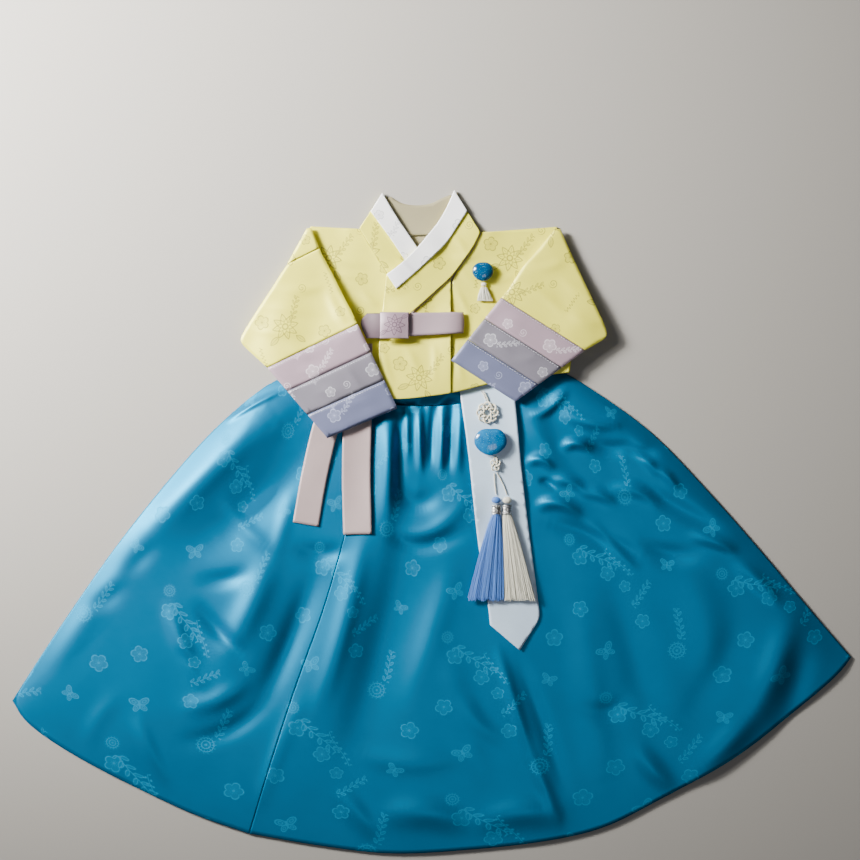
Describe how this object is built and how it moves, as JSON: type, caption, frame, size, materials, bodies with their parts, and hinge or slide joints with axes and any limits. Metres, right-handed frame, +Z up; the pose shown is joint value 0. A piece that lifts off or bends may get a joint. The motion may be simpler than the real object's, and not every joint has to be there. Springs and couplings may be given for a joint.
{
  "type": "korean hanbok",
  "caption": "Child's Korean hanbok laid out flat: pale yellow jacket with tied ribbon and folded sleeves over a full turquoise satin skirt.",
  "frame": {"origin": "centre of the base of the box round the garment, on the surface that it lies on", "axes": "+X towards the wearer's left, +Y from the hem towards the collar, +Z up from the surface"},
  "size_m": [0.964, 0.7618, 0.0249],
  "materials": {
    "turquoise_satin": "satin",
    "white_satin": "satin",
    "yellow_satin": "satin",
    "pale_lining": "matt",
    "rose_satin": "satin",
    "lilac_gauze": "sheer, soft sheen",
    "periwinkle_satin": "satin",
    "ribbon_satin": "satin",
    "ivory_cord": "matt",
    "blue_glass": "polished, glitter inside",
    "periwinkle_thread": "silky",
    "ivory_thread": "silky",
    "silver": "polished"
  },
  "bodies": {
    "root": {"skirt_back": "turquoise_satin", "skirt_front_right": "turquoise_satin", "skirt_front_main": "turquoise_satin", "waistband_back": "turquoise_satin", "waistband_front": "turquoise_satin", "sash": "white_satin", "jacket_back": "yellow_satin", "front_inner": "yellow_satin", "front_outer": "yellow_satin", "front_overlap": "yellow_satin", "collar_back": "pale_lining", "collar_inner": "yellow_satin", "collar_outer": "yellow_satin", "collar_strip_inner": "white_satin", "collar_strip_outer": "white_satin", "shoulder_turn_right": "yellow_satin", "sleeve_right": "yellow_satin", "sleeve_left": "yellow_satin", "sleeve_root_right": "yellow_satin", "sleeve_root_left": "yellow_satin", "cuff_rose_right": "rose_satin", "cuff_lilac_right": "lilac_gauze", "cuff_periwinkle_right": "periwinkle_satin", "cuff_rose_left": "rose_satin", "cuff_lilac_left": "lilac_gauze", "cuff_periwinkle_left": "periwinkle_satin", "ribbon_tail_left": "ribbon_satin", "ribbon_tail_right": "ribbon_satin", "ribbon_loop": "ribbon_satin", "ribbon_knot": "ribbon_satin", "ribbon_fold": "ribbon_satin", "pendant_cord_right": "ivory_cord", "pendant_cord_left": "ivory_cord", "pendant_rosette": "ivory_cord", "pendant_bead": "blue_glass", "pendant_lower_knot": "ivory_cord", "pendant_string_blue": "ivory_cord", "pendant_string_ivory": "ivory_cord", "pendant_knob_blue": "periwinkle_thread", "pendant_knob_ivory": "ivory_thread", "pendant_sleeve_blue": "silver", "pendant_sleeve_ivory": "silver", "tassel_blue": "periwinkle_thread", "tassel_ivory": "ivory_thread", "brooch_bead": "blue_glass", "brooch_knob": "ivory_cord", "brooch_tassel": "ivory_thread"}
  },
  "joints": []
}
